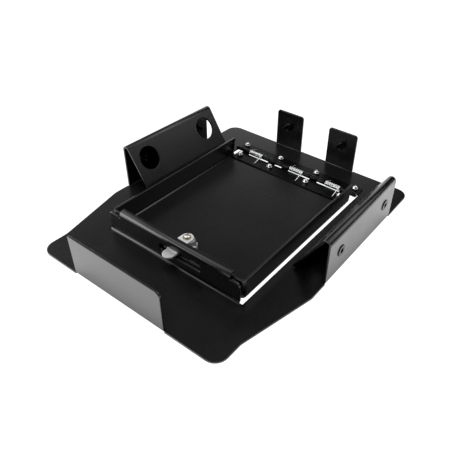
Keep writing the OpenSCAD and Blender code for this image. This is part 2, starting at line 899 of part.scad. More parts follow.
module tab_rivet_nuts() {
    color("#1c1c1e")
        for (x = [-tab_x, tab_x])
            translate([x, rear_y, tab_nut_h])
                rotate([-90, 0, 0])
                    rivet_nut();
}

// Lock barrel or the hole for it: round with two flats
module barrel_post(height, clear) {
    intersection() {
        cylinder(h = height, r = barrel_d / 2 + clear);
        translate([-barrel_af / 2 - clear, -barrel_d, 0])
            cube([barrel_af + 2 * clear, 2 * barrel_d, height]);
    }
}

// Post that turns the stop washer and the cam, or the hole for it
module cam_post(height, clear) {
    intersection() {
        cylinder(h = height, r = post_d / 2 + clear);
        translate([-post_d, -post_af / 2 - clear, 0])
            cube([2 * post_d, post_af + 2 * clear, height]);
    }
}

// Radius of the stop washer's disc, and where its stops run on the barrel's end
stop_disc_r = plug_d / 2 + fit;
stop_ring_in = stop_disc_r + fit;
stop_ring_out = barrel_af / 2;
stop_from = stop_tab / 2 + stop_play;
stop_to = 360 - turn_angle + stop_from - stop_tab - 2 * stop_play;

module lock_body() {
    color("#c8c8cc")
        translate([0, lock_y, 0])
            difference() {
                union() {
                    barrel_post(barrel_top, 0);
                    cylinder(h = head_t, d = head_d);
                    translate([0, 0, barrel_top])
                        linear_extrude(stop_t)
                            rotate(turn_angle)
                                arc_band(stop_ring_in, stop_ring_out, stop_from, stop_to);
                }
                translate([0, 0, -over])
                    cylinder(h = barrel_top + 2 * over, r = plug_d / 2 + fit);
                translate([0, 0, -over])
                    cylinder(h = rim_t + fit + over, r = rim_d / 2 + fit);
            }
}

module lock_nut() {
    color("#b8b8bc")
        translate([0, lock_y, sheet_t])
            difference() {
                rotate(nut_turn)
                    cylinder(h = nut_h, d = nut_af / cos(30), $fn = 6);
                translate([0, 0, -over])
                    cylinder(h = nut_h + 2 * over, r = barrel_d / 2 + fit);
            }
}

// Height of the middle of wafer i
function wafer_z(i) = rim_t + wafer_pitch * (i + 1 / 2);

module lock_plug() {
    slot_w = wafer_w + 2 * wafer_play;
    slot_t = wafer_t + 2 * wafer_play;
    color("#c8b070")
        translate([0, lock_y, 0])
            difference() {
                union() {
                    cylinder(h = rim_t, d = rim_d);
                    cylinder(h = barrel_top, d = plug_d);
                    cam_post(star_z, 0);
                }
                translate([-keyway_w / 2, -keyway_h / 2, -over])
                    cube([keyway_w, keyway_h, keyway_deep + over]);
                for (i = [0 : wafer_count - 1])
                    translate([-slot_w / 2, -plug_d, wafer_z(i) - slot_t / 2])
                        cube([slot_w, 2 * plug_d, slot_t]);
                translate([0, 0, screw_z - screw_len - over])
                    cylinder(h = screw_len + 2 * over, r = screw_d / 2 + fit);
            }
}

module lock_wafers() {
    color("#c8b070")
        for (i = [0 : wafer_count - 1])
            translate([0, lock_y, wafer_z(i) - wafer_t / 2])
                difference() {
                    intersection() {
                        translate([-wafer_w / 2, -wafer_h / 2, 0])
                            cube([wafer_w, wafer_h, wafer_t]);
                        cylinder(h = wafer_t, r = plug_d / 2 - wafer_play);
                    }
                    translate([-keyway_w / 2, -keyway_h / 2, -over])
                        cube([keyway_w, keyway_h, wafer_t + 2 * over]);
                }
}

module stop_washer() {
    color("#c8c8cc")
        translate([0, lock_y, barrel_top])
            difference() {
                linear_extrude(stop_t) {
                    circle(stop_disc_r);
                    arc_band(0, stop_ring_out, -stop_tab / 2, stop_tab / 2);
                }
                translate([0, 0, -over])
                    cam_post(stop_t + 2 * over, fit);
            }
}

module lock_cam() {
    low = cam_z - cam_drop;
    drop_end = drop_start + drop_len;
    color("#d8d8dc")
        translate([0, lock_y, 0])
            difference() {
                intersection() {
                    linear_extrude(star_z) {
                        circle(d = cam_w);
                        patch([-cam_w / 2, cam_w / 2 - cam_len], [cam_w / 2, 0]);
                        translate([0, cam_w / 2 - cam_len])
                            circle(d = cam_w);
                    }
                    across(-cam_w, cam_w)
                        polygon([
                            [cam_w, cam_z],
                            [-drop_start, cam_z],
                            [-drop_end, low],
                            [-cam_len - over, low],
                            [-cam_len - over, low + cam_t],
                            [-drop_end, low + cam_t],
                            [-drop_start, star_z],
                            [cam_w, star_z]]);
                }
                cam_post(star_z + over, fit);
            }
}

module cam_washer() {
    tooth = PI * star_d / star_teeth / 4;
    color("#c8b860")
        translate([0, lock_y, star_z])
            linear_extrude(star_t)
                difference() {
                    union() {
                        circle(star_d / 2 - tooth);
                        for (i = [0 : star_teeth - 1])
                            rotate(360 * i / star_teeth)
                                translate([0, -tooth])
                                    square([star_d / 2, 2 * tooth]);
                    }
                    circle(screw_d / 2 + fit);
                }
}

module cam_screw() {
    head_r = screw_head_d / 2;
    dome_r = (head_r * head_r + screw_dome_h * screw_dome_h) / (2 * screw_dome_h);
    head_top = screw_head_h + screw_dome_h;
    color("#d8d8dc")
        translate([0, lock_y, screw_z])
            difference() {
                union() {
                    translate([0, 0, -screw_len])
                        cylinder(h = screw_len, d = screw_d);
                    intersection() {
                        cylinder(h = head_top, r = head_r);
                        translate([0, 0, head_top - dome_r])
                            sphere(dome_r);
                    }
                }
                for (a = [0, 90])
                    rotate(a)
                        translate([-cross_len / 2, -cross_w / 2, head_top - cross_deep])
                            cube([cross_len, cross_w, cross_deep + over]);
            }
}

base_plate();
lid_pan();
hinge_leaf_plate();
hinge_leaf_lid();
hinge_pin();
spring_left();
spring_middle();
spring_right();
plate_hinge_studs();
plate_hinge_nuts();
lid_hinge_studs();
lid_hinge_nuts();
left_rivet_nuts();
right_rivet_nuts();
tab_rivet_nuts();
lock_body();
lock_nut();
lock_plug();
lock_wafers();
stop_washer();
lock_cam();
cam_washer();
cam_screw();
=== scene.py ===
"""Console safe: finish, small forms, studio and camera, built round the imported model."""

import json
import math

import bmesh
import bpy
from mathutils import Matrix, Vector


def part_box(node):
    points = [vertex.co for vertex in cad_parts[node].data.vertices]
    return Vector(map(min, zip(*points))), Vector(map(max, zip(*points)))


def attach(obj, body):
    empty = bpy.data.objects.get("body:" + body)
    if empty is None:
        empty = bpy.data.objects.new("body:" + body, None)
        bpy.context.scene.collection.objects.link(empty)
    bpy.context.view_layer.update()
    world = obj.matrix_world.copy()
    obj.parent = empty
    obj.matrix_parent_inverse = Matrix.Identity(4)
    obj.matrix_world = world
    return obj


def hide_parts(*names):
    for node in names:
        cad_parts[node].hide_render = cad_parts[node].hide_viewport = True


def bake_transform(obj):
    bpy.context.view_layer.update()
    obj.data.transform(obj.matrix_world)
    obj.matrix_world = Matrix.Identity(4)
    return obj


MM = 0.001
TURN = 2 * math.pi
# Vertices closer than this are one
WELD = 0.001 * MM
# Faces within this many degrees of each other are one flat, and a strip of this width is wide
FLAT_ANGLE = 0.5
WIDE_FLAT = 2 * MM
# A noise texture stays mostly between these values
NOISE = {"From Min": 0.3, "From Max": 0.7}
# A wave texture of scale 1 repeats at this length
WAVE = TURN / 20
# How far the coat or the deburring eases a sharp edge, on the sheet and on small parts
SHEET_EDGE = 0.5 * MM
SMALL_EDGE = 0.2 * MM

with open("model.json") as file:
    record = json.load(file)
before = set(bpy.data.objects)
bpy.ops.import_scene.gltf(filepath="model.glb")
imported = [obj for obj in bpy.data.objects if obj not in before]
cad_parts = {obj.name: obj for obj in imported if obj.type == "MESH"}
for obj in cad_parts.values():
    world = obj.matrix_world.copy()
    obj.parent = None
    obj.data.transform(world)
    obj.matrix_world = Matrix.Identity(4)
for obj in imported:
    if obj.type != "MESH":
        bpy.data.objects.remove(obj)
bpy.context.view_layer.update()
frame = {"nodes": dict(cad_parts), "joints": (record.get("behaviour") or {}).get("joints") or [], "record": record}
joints = {joint["name"]: joint for joint in frame["joints"]}
pin = Vector(joints["lid_hinge"]["pos_m"])
lock = Vector(joints["lock_turn"]["pos_m"])


# Materials


def linear(colour):
    """An sRGB hex colour as linear red, green, blue and alpha."""
    parts = [int(colour[i : i + 2], 16) / 255 for i in (1, 3, 5)]
    return (*(c / 12.92 if c <= 0.04045 else ((c + 0.055) / 1.055) ** 2.4 for c in parts), 1)


def add(tree, kind, values=None, links=None, **settings):
    """Adds a node with its settings, its socket values and the links into it."""
    node = tree.nodes.new(kind)
    for name, value in settings.items():
        setattr(node, name, value)
    for socket, value in (values or {}).items():
        node.inputs[socket].default_value = value
    for socket, source in (links or {}).items():
        tree.links.new(source, node.inputs[socket])
    return node


def new_material(name):
    """An empty material, its nodes, and the place on the piece in metres."""
    material = bpy.data.materials.new(name)
    material.use_nodes = True
    tree = material.node_tree
    tree.nodes.clear()
    place = add(tree, "ShaderNodeTexCoord").outputs["Object"]
    return material, tree, place


def coat(tree, values, colour, roughness, relief):
    """The material's one shader, with its colour, roughness and relief from the nodes."""
    links = {
        "Base Color": colour.outputs["Result"],
        "Roughness": roughness.outputs["Result"],
        "Normal": relief.outputs["Normal"],
    }
    shader = add(tree, "ShaderNodeBsdfPrincipled", values, links)
    add(tree, "ShaderNodeOutputMaterial", links={"Surface": shader.outputs["BSDF"]})


def black_powder_coat():
    """Baked polyester powder: an even semi-gloss black, faintly rippled like orange peel."""
    material, tree, place = new_material("black_powder_coat")
    # The coat's thickness drifts over about 60 mm, and its sheen drifts with it
    drift = add(tree, "ShaderNodeTexNoise", {"Scale": 1 / (60 * MM), "Detail": 2}, {"Vector": place})
    # The ripple is 1 to 2 mm in the real coat, and is drawn at 3 mm so that it shows
    ripple = add(tree, "ShaderNodeTexNoise", {"Scale": 1 / (3 * MM), "Detail": 2}, {"Vector": place})
    # The powder's own grains are under 0.1 mm, and are drawn at 0.6 mm so that they show
    grain = add(tree, "ShaderNodeTexNoise", {"Scale": 1 / (0.6 * MM), "Detail": 1}, {"Vector": place})
    colour = add(
        tree,
        "ShaderNodeMix",
        {"A": linear("#030304"), "B": linear("#060607")},
        {"Factor": drift.outputs["Fac"]},
        data_type="RGBA",
    )
    sheen = add(
        tree,
        "ShaderNodeMapRange",
        {**NOISE, "To Min": 0.24, "To Max": 0.3},
        {"Value": drift.outputs["Fac"]},
    )
    peel = add(
        tree,
        "ShaderNodeBump",
        {"Strength": 1, "Distance": 0.012 * MM},
        {"Height": ripple.outputs["Fac"]},
    )
    skin = add(
        tree,
        "ShaderNodeBump",
        {"Strength": 1, "Distance": 0.003 * MM},
        {"Height": grain.outputs["Fac"], "Normal": peel.outputs["Normal"]},
    )
    coat(tree, {"IOR": 1.5}, colour, sheen, skin)
    return material


def black_oxide_steel():
    """Steel blackened in a hot salt bath and oiled: dark grey metal, lighter where the bath took less."""
    material, tree, place = new_material("black_oxide_steel")
    bath = add(tree, "ShaderNodeTexNoise", {"Scale": 1 / (6 * MM), "Detail": 4}, {"Vector": place})
    # Rolling marks are 0.05 mm apart in the real strip, and are drawn at 0.5 mm so that they show
    rolling = add(tree, "ShaderNodeTexNoise", {"Scale": 1 / (0.5 * MM), "Detail": 2}, {"Vector": place})
    colour = add(
        tree,
        "ShaderNodeMix",
        {"A": linear("#18181a"), "B": linear("#252528")},
        {"Factor": bath.outputs["Fac"]},
        data_type="RGBA",
    )
    oil = add(
        tree,
        "ShaderNodeMapRange",
        {**NOISE, "To Min": 0.24, "To Max": 0.38},
        {"Value": bath.outputs["Fac"]},
    )
    marks = add(
        tree,
        "ShaderNodeBump",
        {"Strength": 1, "Distance": 0.0015 * MM},
        {"Height": rolling.outputs["Fac"]},
    )
    coat(tree, {"Metallic": 1}, colour, oil, marks)
    return material


def bright_zinc_plate():
    """Zinc plate with a clear finish on small fasteners: a bright bluish white with a cloudy sheen."""
    material, tree, place = new_material("bright_zinc_plate")
    cloud = add(tree, "ShaderNodeTexNoise", {"Scale": 1 / (4 * MM), "Detail": 3}, {"Vector": place})
    # Nicks from tumbling are about 0.2 mm, and are drawn at 0.5 mm so that they show
    nicks = add(tree, "ShaderNodeTexVoronoi", {"Scale": 1 / (0.5 * MM)}, {"Vector": place})
    colour = add(
        tree,
        "ShaderNodeMix",
        {"A": linear("#cfd2d5"), "B": linear("#eceded")},
        {"Factor": cloud.outputs["Fac"]},
        data_type="RGBA",
    )
    sheen = add(
        tree,
        "ShaderNodeMapRange",
        {**NOISE, "To Min": 0.12, "To Max": 0.26},
        {"Value": cloud.outputs["Fac"]},
    )
    tumbled = add(
        tree,
        "ShaderNodeBump",
        {"Strength": 1, "Distance": 0.004 * MM},
        {"Height": nicks.outputs["Distance"]},
    )
    coat(tree, {"Metallic": 1}, colour, sheen, tumbled)
    return material


def bright_spring_wire():
    """Drawn spring wire, plated bright: almost a mirror, with fine lines left by the die."""
    material, tree, place = new_material("bright_spring_wire")
    cloud = add(tree, "ShaderNodeTexNoise", {"Scale": 1 / (3 * MM), "Detail": 3}, {"Vector": place})
    # Die lines are a few hundredths of a millimetre apart, and are drawn at 0.3 mm so that they show
    lines = add(tree, "ShaderNodeTexNoise", {"Scale": 1 / (0.3 * MM), "Detail": 1}, {"Vector": place})
    colour = add(
        tree,
        "ShaderNodeMix",
        {"A": linear("#dfe1e3"), "B": linear("#f3f4f4")},
        {"Factor": cloud.outputs["Fac"]},
        data_type="RGBA",
    )
    sheen = add(
        tree,
        "ShaderNodeMapRange",
        {**NOISE, "To Min": 0.12, "To Max": 0.22},
        {"Value": cloud.outputs["Fac"]},
    )
    drawn = add(
        tree,
        "ShaderNodeBump",
        {"Strength": 1, "Distance": 0.002 * MM},
        {"Height": lines.outputs["Fac"]},
    )
    coat(tree, {"Metallic": 1}, colour, sheen, drawn)
    return material


def plain_pin_steel():
    """Bare steel rod, ground and peened at its ends: grey, with rings of grinding round it."""
    material, tree, place = new_material("plain_pin_steel")
    cloud = add(tree, "ShaderNodeTexNoise", {"Scale": 1 / (5 * MM), "Detail": 3}, {"Vector": place})
    # Grinding rings are 0.1 mm apart in the real pin, and are drawn at 1.6 mm so that they show
    rings = add(
        tree,
        "ShaderNodeTexWave",
        {"Scale": WAVE / (1.58 * MM), "Distortion": 1, "Detail": 2},
        {"Vector": place},
        bands_direction="X",
    )
    colour = add(
        tree,
        "ShaderNodeMix",
        {"A": linear("#86878a"), "B": linear("#a9aaad")},
        {"Factor": cloud.outputs["Fac"]},
        data_type="RGBA",
    )
    sheen = add(
        tree,
        "ShaderNodeMapRange",
        {**NOISE, "To Min": 0.25, "To Max": 0.4},
        {"Value": cloud.outputs["Fac"]},
    )
    ground = add(
        tree,
        "ShaderNodeBump",
        {"Strength": 1, "Distance": 0.003 * MM},
        {"Height": rings.outputs["Fac"]},
    )
    coat(tree, {"Metallic": 1}, colour, sheen, ground)
    return material


def black_zinc_plate():
    """Zinc plate turned black in a chromate bath, on the rivet nuts: deep grey with a soft shine."""
    material, tree, place = new_material("black_zinc_plate")
    cloud = add(tree, "ShaderNodeTexNoise", {"Scale": 1 / (4 * MM), "Detail": 3}, {"Vector": place})
    # Nicks from tumbling are about 0.2 mm, and are drawn at 0.5 mm so that they show
    nicks = add(tree, "ShaderNodeTexNoise", {"Scale": 1 / (0.5 * MM), "Detail": 2}, {"Vector": place})
    colour = add(
        tree,
        "ShaderNodeMix",
        {"A": linear("#1a1a1d"), "B": linear("#2c2c30")},
        {"Factor": cloud.outputs["Fac"]},
        data_type="RGBA",
    )
    sheen = add(
        tree,
        "ShaderNodeMapRange",
        {**NOISE, "To Min": 0.3, "To Max": 0.42},
        {"Value": cloud.outputs["Fac"]},
    )
    tumbled = add(
        tree,
        "ShaderNodeBump",
        {"Strength": 1, "Distance": 0.004 * MM},
        {"Height": nicks.outputs["Fac"]},
    )
    coat(tree, {"Metallic": 1}, colour, sheen, tumbled)
    return material


def bright_lock_chrome():
    """Chrome over a die-cast barrel: a warm white mirror, slightly soft from the casting under it."""
    material, tree, place = new_material("bright_lock_chrome")
    casting = add(tree, "ShaderNodeTexNoise", {"Scale": 1 / (5 * MM), "Detail": 3}, {"Vector": place})
    # The casting's pores are about 0.1 mm, and are drawn at 0.7 mm so that they show
    pores = add(tree, "ShaderNodeTexNoise", {"Scale": 1 / (0.7 * MM), "Detail": 2}, {"Vector": place})
    colour = add(
        tree,
        "ShaderNodeMix",
        {"A": linear("#cbccce"), "B": linear("#e9e9ea")},
        {"Factor": casting.outputs["Fac"]},
        data_type="RGBA",
    )
    sheen = add(
        tree,
        "ShaderNodeMapRange",
        {**NOISE, "To Min": 0.16, "To Max": 0.28},
        {"Value": casting.outputs["Fac"]},
    )
    soft = add(
        tree,
        "ShaderNodeBump",
        {"Strength": 1, "Distance": 0.004 * MM},
        {"Height": pores.outputs["Fac"]},
    )
    coat(tree, {"Metallic": 1}, colour, sheen, soft)
    return material


def satin_cam_plate():
    """Stamped steel with a dull zinc plate: a pale grey that spreads the light, with stamping marks."""
    material, tree, place = new_material("satin_cam_plate")
    cloud = add(tree, "ShaderNodeTexNoise", {"Scale": 1 / (5 * MM), "Detail": 4}, {"Vector": place})
    # The tool's marks are 0.1 mm wide in the real cam, and are drawn at 0.6 mm so that they show
    stamped = add(tree, "ShaderNodeTexNoise", {"Scale": 1 / (0.6 * MM), "Detail": 2}, {"Vector": place})
    colour = add(
        tree,
        "ShaderNodeMix",
        {"A": linear("#e2e3e4"), "B": linear("#f4f4f4")},
        {"Factor": cloud.outputs["Fac"]},
        data_type="RGBA",
    )
    sheen = add(
        tree,
        "ShaderNodeMapRange",
        {**NOISE, "To Min": 0.6, "To Max": 0.7},
        {"Value": cloud.outputs["Fac"]},
    )
    marks = add(
        tree,
        "ShaderNodeBump",
        {"Strength": 1, "Distance": 0.006 * MM},
        {"Height": stamped.outputs["Fac"]},
    )
    coat(tree, {"Metallic": 1}, colour, sheen, marks)
    return material


def yellow_zinc_plate():
    """Zinc plate with a yellow chromate, on the star washer: dull gold that pales to straw in patches."""
    material, tree, place = new_material("yellow_zinc_plate")
    film = add(tree, "ShaderNodeTexNoise", {"Scale": 1 / (2 * MM), "Detail": 3}, {"Vector": place})
    # Nicks from tumbling are about 0.2 mm, and are drawn at 0.4 mm so that they show
    nicks = add(tree, "ShaderNodeTexNoise", {"Scale": 1 / (0.4 * MM), "Detail": 2}, {"Vector": place})
    colour = add(
        tree,
        "ShaderNodeMix",
        {"A": linear("#a38f58"), "B": linear("#d0c59a")},
        {"Factor": film.outputs["Fac"]},
        data_type="RGBA",
    )
    sheen = add(
        tree,
        "ShaderNodeMapRange",
        {**NOISE, "To Min": 0.26, "To Max": 0.4},
        {"Value": film.outputs["Fac"]},
    )
    tumbled = add(
        tree,
        "ShaderNodeBump",
        {"Strength": 1, "Distance": 0.003 * MM},
        {"Height": nicks.outputs["Fac"]},
    )
    coat(tree, {"Metallic": 1}, colour, sheen, tumbled)
    return material


def turned_brass():
    """Brass turned on a lathe, for the plug and wafers: yellow, with rings round the lock's axis."""
    material, tree, place = new_material("turned_brass")
    cloud = add(tree, "ShaderNodeTexNoise", {"Scale": 1 / (4 * MM), "Detail": 3}, {"Vector": place})
    centred = add(tree, "ShaderNodeMapping", {"Location": -lock}, {"Vector": place})
    # Tool rings are 0.1 mm apart in the real plug, and are drawn at 1.4 mm so that they show
    rings = add(
        tree,
        "ShaderNodeTexWave",
        {"Scale": WAVE / (1.38 * MM), "Distortion": 0.5},
        {"Vector": centred.outputs["Vector"]},
        wave_type="RINGS",
        rings_direction="Z",
    )
    colour = add(
        tree,
        "ShaderNodeMix",
        {"A": linear("#a98a45"), "B": linear("#c6a962")},
        {"Factor": cloud.outputs["Fac"]},
        data_type="RGBA",
    )
    sheen = add(
        tree,
        "ShaderNodeMapRange",
        {**NOISE, "To Min": 0.22, "To Max": 0.34},
        {"Value": cloud.outputs["Fac"]},
    )
    turned = add(
        tree,
        "ShaderNodeBump",
        {"Strength": 1, "Distance": 0.003 * MM},
        {"Height": rings.outputs["Fac"]},
    )
    coat(tree, {"Metallic": 1}, colour, sheen, turned)
    return material


def red_locking_paint():
    """A dab of soft enamel that shows whether the cam screw has turned: brick red and fairly glossy."""
    material, tree, place = new_material("red_locking_paint")
    # The brush leaves ridges about 1 mm apart, which also carry more or less colour
    cloud = add(tree, "ShaderNodeTexNoise", {"Scale": 1 / (1 * MM), "Detail": 2}, {"Vector": place})
    colour = add(
        tree,
        "ShaderNodeMix",
        {"A": linear("#8e1d12"), "B": linear("#b53a26")},
        {"Factor": cloud.outputs["Fac"]},
        data_type="RGBA",
    )
    sheen = add(
        tree,
        "ShaderNodeMapRange",
        {**NOISE, "To Min": 0.3, "To Max": 0.4},
        {"Value": cloud.outputs["Fac"]},
    )
    brushed = add(
        tree,
        "ShaderNodeBump",
        {"Strength": 1, "Distance": 0.01 * MM},
        {"Height": cloud.outputs["Fac"]},
    )
    coat(tree, {"IOR": 1.5}, colour, sheen, brushed)
    return material


powder = black_powder_coat()
oxide = black_oxide_steel()
zinc = bright_zinc_plate()
wire_plate = bright_spring_wire()
pin_steel = plain_pin_steel()
black_zinc = black_zinc_plate()
chrome = bright_lock_chrome()
satin = satin_cam_plate()
yellow_zinc = yellow_zinc_plate()
brass = turned_brass()
locking_paint = red_locking_paint()


# Pieces


def piece(name, bm, material, body, nodes, corner=35):
    """Makes a piece from a bmesh, smooth up to a corner angle, on a body and in place of its nodes."""
    bm.normal_update()
    angles = {edge: math.degrees(edge.calc_face_angle(math.pi)) for edge in bm.edges}
    flat_edges = [edge for edge, angle in angles.items() if angle < FLAT_ANGLE]
    # Wide flats are as broad as a strip of this width, and the slivers that lie in one with them
    wide = {face for face in bm.faces if face.calc_area() > WIDE_FLAT / 2 * face.calc_perimeter()}
    for _ in range(4):
        for edge in flat_edges:
            if wide & set(edge.link_faces):
                wide.update(edge.link_faces)
    for face in bm.faces:
        face.smooth = True
    for edge, angle in angles.items():
        # A wide flat keeps its own shading beside a bend, which would otherwise spread over it
        edge.smooth = angle < FLAT_ANGLE or angle < corner and not wide & set(edge.link_faces)
    mesh = bpy.data.meshes.new(name)
    bm.to_mesh(mesh)
    bm.free()
    mesh.materials.append(material)
    made = bpy.data.objects.new(name, mesh)
    bpy.context.scene.collection.objects.link(made)
    if body:
        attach(made, body)
    if nodes:
        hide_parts(*nodes)
    return made


def body_of(node):
    """Body that a node rides on."""
    bodies = frame["record"]["behaviour"]["bodies"]
    return next(body for body, members in bodies.items() if node in members)


def eased(node, material, width, corner=30, smooth=50):
    """A copy of a node whose sharp edges are eased by width metres, as coated and deburred edges are."""
    bm = bmesh.new()
    bm.from_mesh(frame["nodes"][node].data)
    bmesh.ops.remove_doubles(bm, verts=bm.verts, dist=WELD)
    bmesh.ops.dissolve_limit(
        bm,
        angle_limit=math.radians(FLAT_ANGLE),
        use_dissolve_boundaries=False,
        verts=bm.verts,
        edges=bm.edges,
    )
    sharp = [
        edge for edge in bm.edges if edge.is_manifold and edge.calc_face_angle() > math.radians(corner)
    ]
    bmesh.ops.bevel(
        bm,
        geom=sharp,
        offset=width,
        offset_type="OFFSET",
        segments=2,
        profile=0.5,
        affect="EDGES",
        clamp_overlap=False,
        material=-1,
    )
    piece(node + "_finished", bm, material, body_of(node), [node], smooth)


def round_wire_spring(node, wire=1.3 * MM, sides=12, steps_a_turn=24, gap=0.03 * MM):
    """A close-wound torsion spring in the space of its node; its left leg stays on the plate leaf."""
    low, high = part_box(node)
    start_x = low.x + wire / 2
    end_x = high.x - wire / 2
    rear_tip = Vector((high.y - pin.y, low.z + wire / 2 - pin.z))
    front_tip = Vector((low.y - pin.y, low.z + wire / 2 - pin.z))
    radius = high.z - pin.z - wire / 2
    # Each leg leaves the coil as a tangent and ends at the tip of the node's own leg
    start = math.atan2(rear_tip.y, rear_tip.x) + math.acos(radius / rear_tip.length)
    front = TURN + math.atan2(front_tip.y, front_tip.x) - math.acos(radius / front_tip.length)
    turns = math.floor((end_x - start_x) / (wire + gap)) - 1
    angle = TURN * turns + (front - start) % TURN
    steps = round(angle / TURN * steps_a_turn)
    bm = bmesh.new()
    ring = bmesh.ops.create_circle(bm, segments=sides, radius=wire / 2)["verts"]
    out = Vector((0, math.cos(start), math.sin(start)))
    way = Vector((0, -math.sin(start), math.cos(start)))
    across = Vector((1, 0, 0))
    turned = Matrix((across, out, across.cross(out))).transposed().to_4x4()
    middle = Vector((start_x, pin.y, pin.z)) + out * radius
    bmesh.ops.transform(bm, matrix=Matrix.Translation(middle) @ turned, verts=ring)
    first = list(bm.edges)
    coil = bmesh.ops.spin(
        bm,
        geom=first,
        cent=pin,
        axis=(1, 0, 0),
        dvec=((end_x - start_x) / steps, 0, 0),
        angle=angle,
        steps=steps,
        use_merge=False,
        use_duplicate=False,
    )
    last = [item for item in coil["geom_last"] if isinstance(item, bmesh.types.BMEdge)]
    end = start + angle
    end_way = Vector((0, -math.sin(end), math.cos(end)))
    legs = (
        (first, -way, math.sqrt(rear_tip.length_squared - radius**2)),
        (last, end_way, math.sqrt(front_tip.length_squared - radius**2)),
    )
    for loop, direction, length in legs:
        grown = bmesh.ops.extrude_edge_only(bm, edges=loop)["geom"]
        tips = [item for item in grown if isinstance(item, bmesh.types.BMVert)]
        bmesh.ops.translate(bm, vec=direction * length, verts=tips)
    bmesh.ops.holes_fill(bm, edges=[edge for edge in bm.edges if edge.is_boundary], sides=sides)
    bmesh.ops.recalc_face_normals(bm, faces=bm.faces)
    made = piece(node + "_wire", bm, wire_plate, None, [node], 50)
    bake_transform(made)


def turned(bm, profile, steps=48):
    """Spins a closed profile of radius and height pairs, in millimetres, once round the Z axis."""
    corners = [bmesh.ops.create_vert(bm, co=(r * MM, 0, z * MM))["vert"][0] for r, z in profile]
    sides = [bm.edges.new(pair) for pair in zip(corners, corners[1:] + corners[:1])]
    bmesh.ops.spin(
        bm,
        geom=corners + sides,
        cent=(0, 0, 0),
        axis=(0, 0, 1),
        angle=TURN,
        steps=steps,
        use_merge=True,
        use_duplicate=False,
    )


def thread(outer, depth, low, high, pitch):
    """Profile of a thread from one height to another, as radius and height pairs."""
    turns = int((high - low) / pitch)
    rise = (high - low) / turns
    flanks = [(outer - depth, low + rise * i, outer, low + rise * (i + 0.5)) for i in range(turns)]
    return [pair for root, z0, crest, z1 in flanks for pair in ((root, z0), (crest, z1))]


def rivet_nuts(node, mount_name, along):
    """Flanged rivet nuts: flat flange, folded bulge behind the sheet, and an M6 thread in the bore."""
    mount = next(mount for mount in frame["record"]["mounts"] if mount["name"] == mount_name)
    bore_r, barrel_r, flange_r = 3, 4.5, 7
    length, flange, edge = 11.7, 1, 0.3
    thread_depth, thread_pitch = 0.4, 1
    turns = thread(bore_r, thread_depth, 2 * edge - length, -2 * edge, thread_pitch)
    bore = [(bore_r, edge - length)] + turns + [(bore_r, -edge), (bore_r + edge, 0)]
    head = [(flange_r - edge, 0), (flange_r, -edge), (flange_r, -flange), (barrel_r, -flange)]
    bulge = [(5.2, -3.8), (5.65, -4.3), (5.8, -5.2), (5.65, -6.1), (5.2, -6.8)]
    barrel = [(barrel_r, edge - length), (barrel_r - edge, -length), (bore_r + edge, -length)]
    outside = head + [(barrel_r, -3.7)] + bulge + [(barrel_r, -7.1)] + barrel
    facing = Vector(mount["axis"]).to_track_quat("Z", "Y").to_matrix().to_4x4()
    bm = bmesh.new()
    for side in (-0.5, 0.5):
        nut = bmesh.new()
        turned(nut, outside + bore)
        place = Vector(mount["pos_m"]) + Vector(along) * side * mount["dims"]["spacing_x_mm"] * MM
        bmesh.ops.transform(nut, matrix=Matrix.Translation(place) @ facing, verts=nut.verts)
        loose = bpy.data.meshes.new("one_rivet_nut")
        nut.to_mesh(loose)
        nut.free()
        bm.from_mesh(loose)
        bpy.data.meshes.remove(loose)
    bmesh.ops.remove_doubles(bm, verts=bm.verts, dist=WELD)
    bmesh.ops.recalc_face_normals(bm, faces=bm.faces)
    piece(node + "_turned", bm, black_zinc, "plate", [node], 25)


def threaded_barrel():
    """The lock's chromed barrel: flush head, thread with two flats, bore, and the stops on its end."""
    bore_r, mouth_r, thread_r, head_r = 6.55, 7.55, 9.5, 11.5
    mouth, head, length, edge = 1.05, 1.2, 17.2, 0.3
    thread_depth, thread_pitch, across_flats = 0.6, 1.06, 16
    stop_in_r, stop_out_r, stop_top = 6.6, 8, 18.8
    stop_from, stop_sweep = (math.radians(angle) for angle in (122, 206))
    root_r = thread_r - thread_depth
    turns = thread(thread_r, thread_depth, head + 0.2, length - 0.2, thread_pitch)
    bm = bmesh.new()
    turned(bm, [(bore_r, head), (root_r, head)] + turns + [(root_r, length), (bore_r, length)], 64)
    for way in (-1, 1):
        cut = bmesh.ops.bisect_plane(
            bm,
            geom=bm.verts[:] + bm.edges[:] + bm.faces[:],
            plane_co=(way * across_flats / 2 * MM, 0, 0),
            plane_no=(way, 0, 0),
            clear_outer=True,
        )
        rim = [item for item in cut["geom_cut"] if isinstance(item, bmesh.types.BMEdge)]
        bmesh.ops.edgeloop_fill(bm, edges=rim)
    face = [(mouth_r, 0), (head_r - edge, 0), (head_r, edge), (head_r, head)]
    turned(bm, face + [(bore_r, head), (bore_r, mouth), (mouth_r, mouth)], 64)
    stops = [
        bmesh.ops.create_vert(bm, co=(r * MM, 0, z * MM))["vert"][0]
        for r, z in (
            (stop_in_r, length),
            (stop_out_r, length),
            (stop_out_r, stop_top),
            (stop_in_r, stop_top),
        )
    ]
    section = bm.faces.new(stops)
    bmesh.ops.rotate(bm, verts=stops, cent=(0, 0, 0), matrix=Matrix.Rotation(stop_from, 3, "Z"))
    bmesh.ops.spin(bm, geom=[section], cent=(0, 0, 0), axis=(0, 0, 1), angle=stop_sweep, steps=36)
    bmesh.ops.translate(bm, vec=(lock.x, lock.y, 0), verts=bm.verts)
    bmesh.ops.recalc_face_normals(bm, faces=bm.faces)
    piece("lock_body_threaded", bm, chrome, "lid", ["lock_body"], 25)


